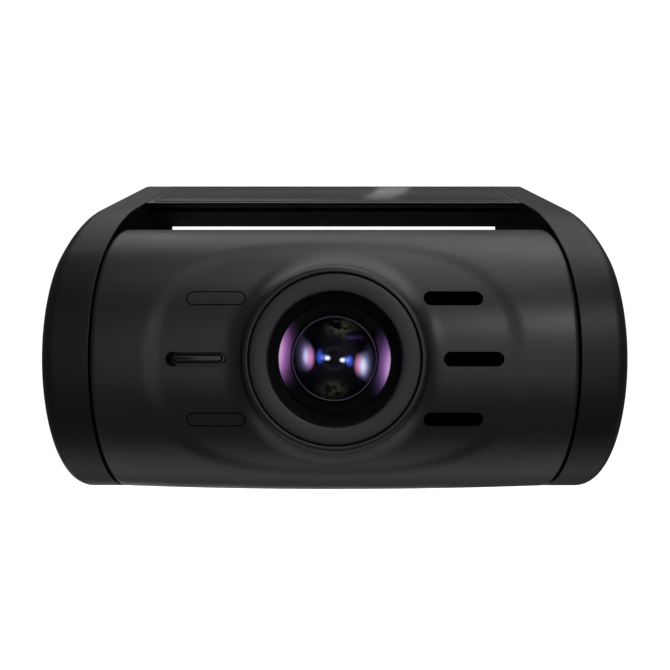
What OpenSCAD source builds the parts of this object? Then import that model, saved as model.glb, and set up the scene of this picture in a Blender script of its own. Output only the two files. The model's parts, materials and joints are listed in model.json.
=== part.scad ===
// Windscreen dash camera. A round camera barrel tilts between the two arms of a yoke,
// and the yoke slides off a thin plate that is stuck to the windscreen.
// Millimetres, +Z up, the lens looks along -Y, +X is to the right seen from the front.
// The origin is the middle of the adhesive pad's outer face.

/* [Overall] */
// Width over the yoke's two arms
overall_w = 90; // [88:1:110]
// Diameter of the tilting camera barrel
barrel_d = 46.2; // [45:0.2:56]
// Slope of the windscreen above the horizontal, in degrees
slope = 20; // [18:1:23]

/* [Yoke] */
// Thickness of each arm
arm_w = 7.7; // [7.5:0.1:9.5]
// Rounding of the arms' outer edge
arm_edge = 2.4; // [1:0.1:3]
// Height of the windscreen face over the barrel's surface
face_gap = 2.15; // [2:0.05:3]
// Steepness at which the arms' outline leaves the barrel's curve, in degrees
blend_slope = 40; // [34:1:44]
// Height of the bridge's underside over the top of the barrel
bridge_gap = 6.65; // [6.3:0.05:8]
// Distance of the bridge's front edge behind the pivot
bridge_y = 15.5; // [15:0.5:17]
// Distance of the yoke's rear face behind the pivot
rear_y = 33.8; // [33.6:0.2:38]
// Height of the arms' rear lower corner over the pivot
fin_z = 28; // [24:0.5:29]
// Diameter of the caps that close the arms
cap_d = 27.2; // [22:0.2:30]
// Thickness of the caps
cap_t = 1.5; // [1.2:0.1:1.6]

/* [Windscreen plate] */
// Distance of the plate's front edge up the slope from the pivot
plate_start = 19.5; // [19:0.1:20]
// Length of the plate along the slope
plate_len = 24.3; // [20.2:0.1:24.5]
// Thickness of the plate
plate_t = 1.6; // [1.4:0.1:1.7]
// Thickness of the plate's front edge
nose_t = 0.3; // [0.2:0.1:0.8]
// Thickness of the adhesive pad
pad_t = 0.7; // [0.6:0.1:0.9]
// Height of the pad above the yoke's top face
pad_proud = 0.2; // [0.1:0.05:0.3]
// Border of the plate around the pad
pad_border = 1.5; // [1:0.1:3]
// Sideways distance of the hooks under the plate
hook_x = 25; // [18:0.5:30]
// Width of the hooks
hook_w = 5; // [4:0.1:7]
// Length of the hooks
hook_len = 3; // [2.5:0.1:3]
// Slide of the yoke that frees the hooks
hook_travel = 4; // [3.5:0.1:4]

/* [Barrel shell] */
// Thickness of the shell's wall
wall = 1.8; // [1.5:0.1:2]
// Rounding of the barrel's end edges
barrel_edge = 0.5; // [0.3:0.1:0.6]
// Width of the oval dish around the lens
dish_w = 57.4; // [52:0.2:60]
// Height of the oval dish
dish_h = 40.2; // [36:0.2:42]
// Depth of the dish
dish_depth = 0.9; // [0.6:0.1:1.2]
// Distance from the pivot to the flat back
back_y = 17; // [16.8:0.1:18]

/* [Front slots] */
// Length of each slot
slot_len = 9.2; // [7.6:0.1:9.6]
// Height of each slot
slot_h = 2.25; // [1.8:0.05:2.4]
// Sideways distance of the upper and lower slots from the lens
slot_x = 18.3; // [18:0.1:20]
// Height of the upper slots above the lens axis
slot_z = 9.35; // [8:0.05:10]
// Extra sideways distance of the middle slots
slot_out = 2.8; // [1:0.1:4]
// Gap left in the slot at each end of the light window
light_gap = 0.7; // [0.5:0.05:1.5]
// Height of the light window
light_h = 1.2; // [0.8:0.1:1.4]

/* [Lens] */
// Distance of the collar's front face in front of the barrel
collar_proud = 1.9; // [1.5:0.1:2]
// Diameter of the collar at its front
collar_d = 27.9; // [27.5:0.1:29]
// Draft of the collar, in degrees
collar_draft = 7; // [4:1:8]
// Outer diameter of the bezel ring
bezel_d = 25.5; // [25:0.1:25.6]
// Inner diameter of the bezel ring
bezel_in = 20.2; // [19.6:0.1:20.8]
// Thickness of the bezel ring
bezel_t = 1.6; // [1.2:0.1:1.8]
// Diameter of the front glass
glass_d = 17.5; // [17:0.1:17.6]
// Depth of the front glass's rim behind the collar's front face
glass_depth = 4.3; // [4.2:0.1:4.6]
// Radius of the front glass's outer surface
glass_r = 13; // [12.5:0.5:20]
// Diameter of the second glass
inner_d = 13.7; // [12.8:0.1:13.8]
// Diameter of the lens barrel's thread
thread_d = 12; // [11:0.5:12]

/* [Screen and buttons] */
// Width of the screen window
screen_w = 48; // [40:1:48]
// Height of the screen window
screen_h = 26; // [22:1:26]
// Sideways place of the window's middle
screen_x = -6; // [-6:0.5:-5]
// Diameter of the buttons
button_d = 4.6; // [4:0.1:4.8]
// Distance between the buttons
button_pitch = 6; // [6:0.1:6.2]
// Sideways place of the buttons
button_x = 25.5; // [25:0.1:25.6]
// Travel of the buttons
button_travel = 0.5; // [0.3:0.05:0.5]
// Number of buttons
buttons = 4; // [4]

/* [Sockets] */
// Sideways place of the memory card
card_x = -18; // [-20:0.5:-14]
// Width of the memory card
card_w = 11; // [11]
// Length of the memory card
card_len = 15; // [15]
// Thickness of the memory card
card_t = 0.8; // [0.7:0.1:0.8]
// Sideways place of the power socket
usb_x = 12; // [10:0.5:12]
// Width of the power socket's shell
usb_w = 7.7; // [7.7]
// Thickness of the power socket's shell
usb_h = 3.9; // [3.9]
// Length of the power socket
usb_len = 9; // [8:0.1:9.2]

/* [Hinge] */
// Diameter of the hinge screws' shoulder
shoulder_d = 6; // [5:0.1:6]
// Outer diameter of the hinge bushes
bush_d = 10; // [9:0.1:10.4]
// Diameter of the hinge screws' head
head_d = 9.2; // [8:0.1:10]
// Diameter of the friction washers
friction_d = 16; // [14:0.5:18]

/* [Fits] */
// Gap between the barrel's ends and the arms
seam_gap = 0.3; // [0.25:0.05:0.4]
// Gap of the plate in its channel
slide_gap = 0.12; // [0.08:0.01:0.15]
// Radial clearance of the hinge screws and the buttons
running_gap = 0.06; // [0.03:0.01:0.1]
// Gap around parts that sit still
rest_gap = 0.1; // [0.05:0.01:0.12]
// Gap around the bezel ring
bezel_gap = 0.2; // [0.15:0.01:0.25]

/* [Hidden] */
eps = 0.01;
big = 200;
barrel_r = barrel_d / 2;
yoke_in = overall_w / 2 - arm_w;
barrel_half = yoke_in - seam_gap;
under_z = barrel_r + bridge_gap;
face_d = barrel_r + face_gap;
blend_turn = blend_slope - slope;
blend_r = barrel_r + face_gap / (1 - cos(blend_turn));
blend_offset = blend_r - barrel_r;
blend_end = blend_offset * sin(blend_turn);
// Depth of the solid band along an arm's outline, and the step between its lengths
arm_skin = 6;
run_step = 0.02;
web_inset = arm_edge + 1.1;
// Hooks: distance from the plate's rear edge, lip over them, head and stem
hook_back = 4.3;
hook_lip = 1.1;
plate_half = yoke_in - slide_gap;
front_edge_z = face_d * cos(slope) + plate_start * sin(slope);
hook_y = plate_len - hook_back - hook_len;
hook_top = plate_t + slide_gap + hook_lip;
hook_t = 1;
stem_w = 2.4;
// The front is thicker than the wall behind the dish
dish_backing = 0.7;
floor_r = barrel_r - dish_depth;
cavity_r = barrel_r - wall;
thick_r = floor_r - wall - dish_backing;
thick_half = dish_w / 2 + wall;
inner_half = barrel_half - wall;
light_len = slot_len - 2 * light_gap;
light_shift = 0.3;
back_t = 2;
inner_back = back_y - back_t;
collar_len = 9.5;
bezel_ledge = 1.1;
front_y = -(barrel_r + collar_proud);
seat_y = front_y + bezel_t;
well_r = bezel_d / 2 - bezel_ledge;
// Depths behind the front glass of the shroud's end, the lens barrel and the sensor
glass_y = front_y + glass_depth;
neck_y = glass_y + 5;
lens_y = glass_y + 1.25;
sensor_y = glass_y + 19.2;
// Boards and what sits on them
board_t = 1.2;
main_y = back_y - 10;
main_half = inner_half - 5.7;
main_h = 32;
card_y = main_y + board_t + 0.9;
usb_y = main_y + board_t;
lcd_t = 2.65;
lcd_y = inner_back - rest_gap / 2 - lcd_t;
pad_len = plate_len - 2 * pad_border;
pad_mid = plate_start + plate_len / 2;
pad_d = face_d + pad_proud;
// Case screws: places, bosses, pilot hole, shank and counterbore
screw_x = barrel_half - 4;
screw_z = 12.5;
boss_r = 2.6;
rear_boss_r = 2.8;
screw_r = 1;
screw_hole_r = 1.1;
pilot_r = 1.02;
screw_head_r = 1.9;
screw_well_r = 2.1;
screw_seat = 5;
// Hinge: pocket behind each cap, bush flange, nut hub and the nut's threaded part
bush_flange_t = 0.6;
pocket_depth = 3;
cap_ledge = 1.6;
pocket_x = overall_w / 2 - cap_t - pocket_depth;
pocket_r = cap_d / 2 - cap_ledge;
hub_r = bush_d / 2 - 0.5;
nut_r = 6.8;
nut_t = 2.1;
thread_r = 1.5;
thread_gap = 0.03;
friction_t = 0.5;
// The sockets' mouths stand a little inside the barrel's surface
mouth_y = usb_y + usb_h / 2;
usb_inset = 0.7;
card_inset = 0.5;
usb_mouth = -sqrt(barrel_r ^ 2 - mouth_y ^ 2) + usb_inset;
card_mouth = -sqrt(barrel_r ^ 2 - card_y ^ 2) + card_inset;
pad_centre = [
    0,
    pad_mid * cos(slope) - pad_d * sin(slope),
    pad_mid * sin(slope) + pad_d * cos(slope)
];

// ---- frames and shared shapes ----

// From the pivot's frame to the part's frame
module placed() {
    translate(-pad_centre) children();
}

// Local Y runs up the slope from the plate's front edge, local Z out of its face
module on_slope() {
    rotate([slope, 0, 0]) translate([0, plate_start, face_d]) children();
}

// Children drawn along +Z are turned to run along +X, and copied to the left side
module at_side(side) {
    mirror([side < 0 ? 1 : 0, 0, 0]) rotate([0, 90, 0]) children();
}

// A disc or ring along +Y from y0 to y1
module along_y(y0, y1, r, x = 0, z = 0) {
    translate([x, y0, z]) rotate([-90, 0, 0]) cylinder(h = y1 - y0, r = r, $fn = 48);
}

// A plain block from y0 to y1 about a middle
module block_y(y0, y1, w, h, x = 0, z = 0) {
    translate([x - w / 2, y0, z - h / 2]) cube([w, y1 - y0, h]);
}

// A slot shape with round ends along X
module pill(y0, y1, length, height, x, z) {
    block_y(y0, y1, length - height, height, x, z);
    for (side = [-1, 1]) {
        along_y(y0, y1, height / 2, x + side * (length - height) / 2, z);
    }
}

// A round body along X with rounded end edges
module drum(r, half, edge) {
    rotate([0, 90, 0]) rotate_extrude($fn = 128) {
        translate([0, -half]) square([r - edge, 2 * half]);
        translate([0, edge - half]) square([r, 2 * (half - edge)]);
        for (side = [-1, 1]) {
            translate([r - edge, side * (half - edge)]) circle(r = edge, $fn = 24);
        }
    }
}

module x_rod(r, half) {
    rotate([0, 90, 0]) cylinder(h = 2 * half, r = r, center = true, $fn = 128);
}

// ---- windscreen plate ----

// A block in the slope's frame, from y0 to y1 and from low to top
module slope_block(w, y0, y1, low, top, x = 0) {
    on_slope() translate([x - w / 2, y0, low]) cube([w, y1 - y0, top - low]);
}

module pad_shape() {
    slope_block(2 * (plate_half - pad_border), pad_border, plate_len - pad_border,
        pad_proud - pad_t, pad_proud);
}

module mount_plate() {
    color([0.09, 0.09, 0.1]) {
        difference() {
            slope_block(2 * plate_half, 0, plate_len, -plate_t, 0);
            pad_shape();
            translate([-big / 2, -big / 2, front_edge_z - nose_t - big]) cube(big);
        }
        for (x = [-hook_x, hook_x]) {
            slope_block(stem_w, hook_y, hook_y + hook_len, -hook_top - hook_t / 2,
                -plate_t, x);
            slope_block(hook_w, hook_y, hook_y + hook_len, -hook_top - hook_t,
                -hook_top, x);
        }
    }
}

module adhesive_pad() {
    color([0.2, 0.2, 0.21]) pad_shape();
}

// ---- yoke ----

// Half of an arm's cross-section out to a height, with its outer edge rounded
module arm_section(low, high) {
    translate([low, 0]) {
        square([high - low - arm_edge, arm_w]);
        square([high - low, arm_w - arm_edge]);
    }
    translate([high - arm_edge, arm_w - arm_edge]) circle(r = arm_edge, $fn = 32);
}

// In an arm's own frame X points down, Y to the rear and Z outwards
function from_pivot(r, angle) = r * [cos(angle), sin(angle)];

// Round part, blend and straight part of an arm, and the web that fills them
module arm() {
    blend_centre = from_pivot(blend_offset, blend_slope);
    web_start = [8, -2];
    web_turn = 14;
    corner_turn = 67;
    translate([0, 0, yoke_in]) {
        rotate([0, 0, 180 + blend_slope]) {
            rotate_extrude(angle = 360 - blend_turn, $fn = 128) {
                arm_section(0, barrel_r);
            }
        }
        translate([blend_centre[0], blend_centre[1], 0]) rotate([0, 0, 180 + slope]) {
            rotate_extrude(angle = blend_turn, $fn = 256) {
                arm_section(blend_r - arm_skin, blend_r - run_step);
            }
        }
        rotate([0, 0, 180 + slope]) translate([0, -blend_end, 0]) rotate([90, 0, 0]) {
            linear_extrude(height = 2 * rear_y) {
                arm_section(face_d - arm_skin, face_d - 2 * run_step);
            }
        }
        linear_extrude(height = arm_w) polygon([
            web_start,
            from_pivot(barrel_r - web_inset, 180 + blend_slope + web_turn),
            blend_centre + from_pivot(blend_r - web_inset, 180 + slope),
            [-slope_z(rear_y) + web_inset + 0.4, rear_y + 1],
            [-fin_z, rear_y + eps],
            from_pivot(barrel_r - 1, 180 - corner_turn)
        ]);
    }
}

// Height of the windscreen face at a distance behind the pivot
function slope_z(y) = face_d / cos(slope) + y * tan(slope);

module bridge() {
    rotate([90, 0, 90]) linear_extrude(height = 2 * yoke_in + 1, center = true) {
        polygon([
            [bridge_y, under_z],
            [rear_y, under_z],
            [rear_y, slope_z(rear_y)],
            [bridge_y, slope_z(bridge_y)]
        ]);
    }
}

// Slots under the plate that its hooks drop into and slide along
module hook_slots() {
    low = -hook_top - hook_t - slide_gap;
    front = hook_y - hook_travel - slide_gap;
    back = hook_y + hook_len + slide_gap;
    wide = hook_w + 2 * slide_gap;
    for (x = [-hook_x, hook_x]) {
        slope_block(stem_w + 2 * slide_gap, front, back, low, 0, x);
        slope_block(wide, front, back, low, -hook_top + slide_gap, x);
        slope_block(wide, front, back - hook_travel, low, 0, x);
    }
}

module yoke_frame() {
    color([0.13, 0.13, 0.14]) difference() {
        union() {
            difference() {
                bridge();
                slope_block(2 * yoke_in + 2, -plate_len, plate_len + slide_gap,
                    -plate_t - slide_gap, big);
            }
            for (side = [-1, 1]) at_side(side) arm();
        }
        hook_slots();
        translate([-big / 2, rear_y, -big / 2]) cube(big);
        for (side = [-1, 1]) at_side(side) {
            translate([0, 0, yoke_in - 1]) cylinder(h = big, d = bush_d, $fn = 48);
            translate([0, 0, pocket_x]) cylinder(h = big, r = pocket_r, $fn = 64);
            translate([0, 0, overall_w / 2 - cap_t]) {
                cylinder(h = big, r = cap_d / 2 + rest_gap, $fn = 64);
            }
            translate([0, 0, yoke_in - 1]) {
                cylinder(h = 1.3, r = friction_d / 2 + rest_gap, $fn = 48);
            }
        }
    }
}

module side_cap(side) {
    edge = 0.4;
    color([0.1, 0.1, 0.11]) at_side(side) {
        translate([0, 0, overall_w / 2 - cap_t]) rotate_extrude($fn = 64) {
            square([cap_d / 2 - edge, cap_t]);
            square([cap_d / 2, cap_t - edge]);
            translate([cap_d / 2 - edge, cap_t - edge]) circle(r = edge, $fn = 16);
        }
    }
}

// Plastic bearing that the hinge screw turns in
module hinge_bush(side) {
    start = yoke_in + 0.3;
    color([0.85, 0.85, 0.8]) at_side(side) difference() {
        union() {
            translate([0, 0, start]) {
                cylinder(h = pocket_x - start, r = bush_d / 2 - eps, $fn = 48);
            }
            translate([0, 0, pocket_x]) {
                cylinder(h = bush_flange_t, r = bush_d / 2 + 1.4, $fn = 48);
            }
        }
        translate([0, 0, start - 1]) {
            cylinder(h = big, r = shoulder_d / 2 + running_gap, $fn = 48);
        }
    }
}

module friction_washers() {
    color([0.75, 0.76, 0.78]) for (side = [-1, 1]) at_side(side) {
        translate([0, 0, barrel_half + 0.02]) difference() {
            cylinder(h = friction_t, d = friction_d, $fn = 48);
            translate([0, 0, -1]) cylinder(h = 3, r = shoulder_d / 2 + 0.3, $fn = 48);
        }
    }
}

// ---- barrel shell ----

module dish_cut() {
    difference() {
        translate([0, -eps - barrel_r / 4, 0]) rotate([90, 0, 0]) {
            linear_extrude(height = big) {
                scale([dish_w / dish_h, 1]) circle(d = dish_h, $fn = 96);
            }
        }
        x_rod(floor_r, big);
    }
}

module cavity() {
    difference() {
        union() {
            x_rod(thick_r, inner_half);
            for (side = [-1, 1]) at_side(side) translate([0, 0, thick_half]) {
                cylinder(h = inner_half - thick_half, r = cavity_r, $fn = 128);
            }
            intersection() {
                x_rod(cavity_r, inner_half);
                translate([-big, 0, -big]) cube(2 * big);
            }
        }
        translate([-big, inner_back, -big]) cube(2 * big);
    }
}

module collar() {
    edge = 0.6;
    r = collar_d / 2;
    spread = collar_len * tan(collar_draft);
    translate([0, front_y, 0]) rotate([-90, 0, 0]) rotate_extrude($fn = 96) {
        polygon([
            [0, 0],
            [r - edge, 0],
            [r - 0.3 * edge, 0.3 * edge],
            [r, edge],
            [r + spread, collar_len],
            [r - 1, collar_len + 2],
            [0, collar_len + 2]
        ]);
    }
}

module case_boss_places() {
    for (x = [-screw_x, screw_x], z = [-screw_z, screw_z]) {
        translate([x, 0, z]) rotate([-90, 0, 0]) children();
    }
}

module hub_holes() {
    for (side = [-1, 1]) at_side(side) translate([0, 0, inner_half - 1]) {
        cylinder(h = 10, r = hub_r + rest_gap, $fn = 48);
    }
}

module slots(extra) {
    for (side = [-1, 1]) {
        for (row = [-1, 1]) {
            pill(-barrel_r, -8, slot_len + extra, slot_h + extra, side * slot_x,
                row * slot_z);
        }
        pill(-barrel_r, -8, slot_len + extra, slot_h + extra,
            side * (slot_x + slot_out), 0);
    }
}

module front_cover() {
    color([0.16, 0.16, 0.17]) difference() {
        union() {
            intersection() {
                difference() {
                    drum(barrel_r, barrel_half, barrel_edge);
                    dish_cut();
                    cavity();
                }
                translate([-big, -2 * big - rest_gap / 2, -big]) cube(2 * big);
            }
            collar();
            intersection() {
                case_boss_places() translate([0, 0, -barrel_r]) {
                    cylinder(h = barrel_r - rest_gap / 2, r = boss_r, $fn = 32);
                }
                x_rod(barrel_r - wall / 2, barrel_half - wall / 2);
            }
        }
        slots(0);
        along_y(front_y - 1, seat_y, bezel_d / 2 + bezel_gap);
        along_y(front_y, 0, well_r);
        hub_holes();
        case_boss_places() translate([0, 0, -9]) cylinder(h = 20, r = pilot_r, $fn = 24);
    }
}

module rear_cover() {
    color([0.14, 0.14, 0.15]) difference() {
        union() {
            intersection() {
                difference() {
                    drum(barrel_r, barrel_half, barrel_edge);
                    cavity();
                }
                translate([-big, rest_gap / 2, -big]) cube([2 * big, back_y, 2 * big]);
            }
            intersection() {
                case_boss_places() translate([0, 0, rest_gap / 2]) {
                    cylinder(h = inner_back, r = rear_boss_r, $fn = 32);
                }
                x_rod(barrel_r - wall / 2, barrel_half - wall / 2);
            }
        }
        translate([-big, back_y, -big]) cube(2 * big);
        block_y(back_y - 1.2, big, window_hole(screen_w), window_hole(screen_h),
            screen_x);
        block_y(0, back_y, screen_w - 4, screen_h - 3, screen_x);
        for (i = [0:buttons - 1]) {
            along_y(inner_back - 1, back_y + 1, button_d / 2 + running_gap, button_x,
                button_z(i));
        }
        case_boss_places() {
            translate([0, 0, screw_seat]) cylinder(h = big, r = screw_well_r, $fn = 32);
            translate([0, 0, -1]) cylinder(h = big, r = screw_hole_r, $fn = 32);
        }
        hub_holes();
        block_z(card_x, card_y, -big, 0, card_w + 0.8, card_t + 0.8);
        block_z(usb_x, mouth_y, -big, 0, usb_w + 2 * rest_gap, usb_h + 2 * rest_gap);
    }
}

function window_hole(size) = size + 2 * rest_gap;
function button_z(i) = ((buttons - 1) / 2 - i) * button_pitch;

// A block standing along Z about a middle
module block_z(x, y, z0, z1, w, d) {
    translate([x - w / 2, y - d / 2, z0]) cube([w, d, z1 - z0]);
}

// ---- hinge hardware ----

module hinge_nut(side) {
    color([0.7, 0.6, 0.35]) at_side(side) difference() {
        union() {
            translate([0, 0, inner_half - nut_t - rest_gap]) {
                cylinder(h = nut_t, r = nut_r, $fn = 48);
            }
            translate([0, 0, inner_half - 1]) {
                cylinder(h = barrel_half - inner_half + 0.98, r = hub_r, $fn = 48);
            }
        }
        translate([0, 0, inner_half - 5]) {
            cylinder(h = big, r = thread_r + thread_gap, $fn = 32);
        }
    }
}

module hinge_screws() {
    shoulder_end = pocket_x + bush_flange_t + 0.7;
    color([0.6, 0.61, 0.63]) for (side = [-1, 1]) at_side(side) difference() {
        union() {
            translate([0, 0, inner_half - 2]) {
                cylinder(h = shoulder_end - inner_half + 2, r = thread_r, $fn = 32);
            }
            translate([0, 0, barrel_half + 0.03]) {
                cylinder(h = shoulder_end - barrel_half, d = shoulder_d, $fn = 48);
            }
            translate([0, 0, shoulder_end]) cylinder(h = 1.4, d = head_d, $fn = 48);
        }
        for (turn = [0, 90]) {
            translate([0, 0, shoulder_end + 1.1]) rotate([0, 0, turn]) {
                cube([4, 0.8, 0.8], center = true);
            }
        }
    }
}

module spring_washers() {
    color([0.78, 0.79, 0.8]) for (side = [-1, 1]) at_side(side) {
        translate([0, 0, pocket_x + bush_flange_t + 0.02]) difference() {
            cylinder(h = 0.65, d = head_d, $fn = 48);
            translate([0, 0, -1]) cylinder(h = 3, r = shoulder_d / 2 + 0.15, $fn = 48);
        }
    }
}

module case_screws() {
    color([0.55, 0.56, 0.58]) case_boss_places() {
        translate([0, 0, -7]) cylinder(h = screw_seat + 7.2, r = screw_r, $fn = 24);
        difference() {
            translate([0, 0, screw_seat + 0.03]) cylinder(h = 1.4, r = screw_head_r, $fn = 32);
            for (turn = [0, 90]) {
                translate([0, 0, screw_seat + 1.2]) rotate([0, 0, turn]) {
                    cube([2.4, 0.5, 0.7], center = true);
                }
            }
        }
    }
}

// ---- lens and camera module ----

module lens_bezel() {
    color([0.15, 0.15, 0.16]) translate([0, front_y, 0]) rotate([-90, 0, 0]) {
        rotate_extrude($fn = 96) polygon([
            [bezel_in / 2 + 0.2, 0],
            [bezel_d / 2 - 0.2, 0],
            [bezel_d / 2, 0.2],
            [bezel_d / 2, bezel_t - 0.02],
            [bezel_in / 2, bezel_t - 0.02],
            [bezel_in / 2, 0.2]
        ]);
    }
}

module lens_shroud() {
    seat = glass_d / 2 + rest_gap;
    back = neck_y - seat_y;
    step = glass_y - seat_y - 0.4;
    color([0.03, 0.03, 0.03]) translate([0, seat_y, 0]) rotate([-90, 0, 0]) {
        rotate_extrude($fn = 96) polygon([
            [bezel_in / 2, 0],
            [well_r - rest_gap, 0],
            [well_r - rest_gap, back],
            [seat, back],
            [seat, step]
        ]);
    }
}

module front_glass() {
    rim = glass_y + 1.2;
    sag = glass_r - sqrt(glass_r ^ 2 - (glass_d / 2) ^ 2);
    color([0.35, 0.32, 0.45, 0.4]) difference() {
        intersection() {
            translate([0, glass_y - sag + glass_r, 0]) sphere(r = glass_r, $fn = 96);
            along_y(glass_y - sag - 1, rim, glass_d / 2);
        }
        translate([0, rim + 4.6, 0]) sphere(r = 6.8, $fn = 64);
    }
}

module lens_barrel() {
    head = glass_d / 2 - 0.1;
    bore = inner_d / 2 + 0.05;
    thread = thread_d / 2;
    color([0.05, 0.05, 0.05]) translate([0, lens_y, 0]) rotate([-90, 0, 0]) {
        rotate_extrude($fn = 64) polygon([
            [bore, 0],
            [head, 0],
            [head, 3.6],
            [thread, 3.6],
            [thread, 14.4],
            [3.2, 14.4],
            [3.2, 11],
            [4.05, 11],
            [4.05, 9.6],
            [3.4, 8],
            [3.4, 3.6],
            [bore, 3.6]
        ]);
    }
}

module inner_glass() {
    back = glass_y + 4.8;
    curve = 9.5;
    top = glass_y + 1.7;
    color([0.3, 0.35, 0.5, 0.4]) intersection() {
        translate([0, top + curve, 0]) sphere(r = curve, $fn = 64);
        along_y(top, back, inner_d / 2);
    }
}

module rear_glass() {
    start = lens_y + 9.7;
    color([0.35, 0.45, 0.5, 0.4]) along_y(start, start + 1.25, 4);
}

module lens_holder() {
    color([0.06, 0.06, 0.06]) difference() {
        union() {
            along_y(sensor_y - 9, sensor_y - 3, thread_d / 2 + 1.6);
            block_y(sensor_y - 3.6, sensor_y, 20, 20);
        }
        along_y(sensor_y - 10, sensor_y - 3.2, thread_d / 2 + 0.04);
        block_y(sensor_y - 2.6, sensor_y + 1, 10.4, 10.4);
        block_y(sensor_y - 4, sensor_y, 7, 7);
    }
}

module ir_filter() {
    color([0.5, 0.75, 0.8, 0.5]) block_y(sensor_y - 2.58, sensor_y - 2.28, 9.6, 9.6);
}

module image_sensor() {
    color([0.2, 0.25, 0.3]) block_y(sensor_y - 1.1, sensor_y - 0.02, 8.4, 7.4);
}

module sensor_board() {
    color([0.05, 0.25, 0.12]) block_y(sensor_y + 0.02, sensor_y + board_t, 26, 24);
}

module flat_cable() {
    rise = 14.5;
    low = 9;
    start = sensor_y + board_t + 0.02;
    color([0.85, 0.8, 0.7]) {
        block_y(start, start + 0.2, 10, rise - low, 0, (rise + low) / 2);
        block_y(start, main_y - 0.02, 10, 0.2, 0, rise - 0.1);
        block_y(main_y - 0.22, main_y - 0.02, 10, rise - low, 0, (rise + low) / 2);
    }
}

// ---- electronics ----

module battery() {
    start = sensor_y + board_t + 0.4;
    color([0.65, 0.66, 0.68]) {
        block_y(start, min(start + 4.5, main_y - 0.3), 22, 18, -18, -1);
    }
}

module main_board() {
    color([0.04, 0.22, 0.1]) {
        block_y(main_y, main_y + board_t, 2 * main_half, main_h);
    }
}

module processor() {
    color([0.08, 0.08, 0.09]) block_y(main_y - 1.2, main_y - 0.02, 12, 12, 10, -2);
}

module heat_spreader() {
    color([0.75, 0.76, 0.78]) block_y(main_y - 2.2, main_y - 1.22, 20, 16, 12, -2);
}

module card_socket() {
    top = card_mouth + card_len + 1;
    low = -main_h / 2 + 0.2;
    color([0.7, 0.71, 0.73]) difference() {
        block_z(card_x, card_y, low, top, card_w + 3, 1.7);
        block_z(card_x, card_y, low - 1, top - 0.8, card_w + 0.3, card_t + 0.2);
    }
}

module memory_card() {
    color([0.07, 0.07, 0.08]) {
        block_z(card_x, card_y, card_mouth, card_mouth + card_len, card_w, card_t);
    }
}

module usb_socket() {
    skin = 0.35;
    color([0.72, 0.73, 0.75]) {
        difference() {
            block_z(usb_x, mouth_y, usb_mouth, usb_mouth + usb_len, usb_w,
                usb_h - 0.04);
            block_z(usb_x, mouth_y, usb_mouth - 1, usb_mouth + usb_len - 1,
                usb_w - 2 * skin, usb_h - 0.04 - 2 * skin);
        }
        block_z(usb_x, mouth_y, usb_mouth + 1, usb_mouth + usb_len - 0.5, 5, 0.9);
    }
}

module lcd_module() {
    color([0.12, 0.12, 0.14]) {
        block_y(lcd_y, lcd_y + lcd_t, screen_w - 1, screen_h + 1, screen_x);
    }
}

module screen_window() {
    color([0.02, 0.02, 0.03]) {
        block_y(back_y - 1.18, back_y, screen_w, screen_h, screen_x);
    }
}

module button_board() {
    color([0.05, 0.25, 0.12]) block_y(inner_back - 3.9, inner_back - 2.9, 7.4, 25.5,
        button_x);
}

module tact_switches() {
    color([0.3, 0.3, 0.32]) for (i = [0:buttons - 1]) {
        block_y(inner_back - 2.88, inner_back - 1.7, 4.2, 4.2, button_x, button_z(i));
    }
}

// Cap with a flange inside the cover and a short stem towards its switch
module button(i) {
    flange = inner_back - 0.05;
    color([0.18, 0.18, 0.19]) {
        along_y(flange - 0.6, back_y + 0.5, button_d / 2, button_x, button_z(i));
        along_y(flange - 0.6, flange, button_d / 2 + 0.5, button_x, button_z(i));
        along_y(inner_back - 1.65 + button_travel, flange - 0.5, 1, button_x,
            button_z(i));
    }
}

// ---- front trim ----

module speaker() {
    x = slot_x + 3.3;
    z = 3.5;
    start = -sqrt(thick_r ^ 2 - 10.2 ^ 2) + 0.5;
    color([0.25, 0.25, 0.27]) {
        along_y(start, start + 2.4, 6.5, x, z);
        along_y(start + 2.3, start + 4, 4.5, x, z);
    }
}

module speaker_mesh() {
    reach = slot_x + slot_out + slot_len / 2 + 1.2;
    color([0.02, 0.02, 0.02]) difference() {
        x_rod(thick_r - 0.05, reach);
        x_rod(thick_r - 0.35, big);
        translate([-big, -big, slot_z + 2.6]) cube(2 * big);
        translate([-big, -big, -2 * big - slot_z - 2.6]) cube(2 * big);
        translate([-big, 0, -big]) cube(2 * big);
        translate([-2 * big + 0.1, -big, -big]) cube(2 * big);
        along_y(-big, 0, collar_d / 2 + collar_len * tan(collar_draft) + rest_gap);
    }
}

module microphone() {
    z = -slot_z;
    start = -sqrt(thick_r ^ 2 - (slot_z + 2.2) ^ 2) + 0.5;
    color([0.5, 0.5, 0.52]) along_y(start, start + 1.5, 2, slot_x + 0.5, z);
}

module slot_blank(row) {
    color([0.15, 0.15, 0.16]) intersection() {
        pill(-barrel_r, -12, slot_len - 0.2, slot_h - 0.2, -slot_x, row * slot_z);
        x_rod(floor_r, big);
        difference() {
            x_rod(big, big);
            x_rod(thick_r, 2 * big);
        }
    }
}

module light_window() {
    x = -slot_x - slot_out + light_shift;
    front = -floor_r + 0.35;
    color([0.3, 0.3, 0.32]) {
        pill(front, -thick_r + 0.6, light_len, light_h, x, 0);
        pill(-thick_r + 0.1, -thick_r + 0.7, slot_len + 1, slot_h + 0.6, x, 0);
    }
}

module status_led() {
    start = -thick_r + 0.75;
    color([0.9, 0.9, 0.85]) block_y(start, start + 0.8, 2, 1.2, -slot_x - slot_out);
}

module led_board() {
    start = -thick_r + 1.57;
    color([0.05, 0.25, 0.12]) block_y(start, start + 0.8, 8, 5, -slot_x - slot_out);
}

// ---- output ----

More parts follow.
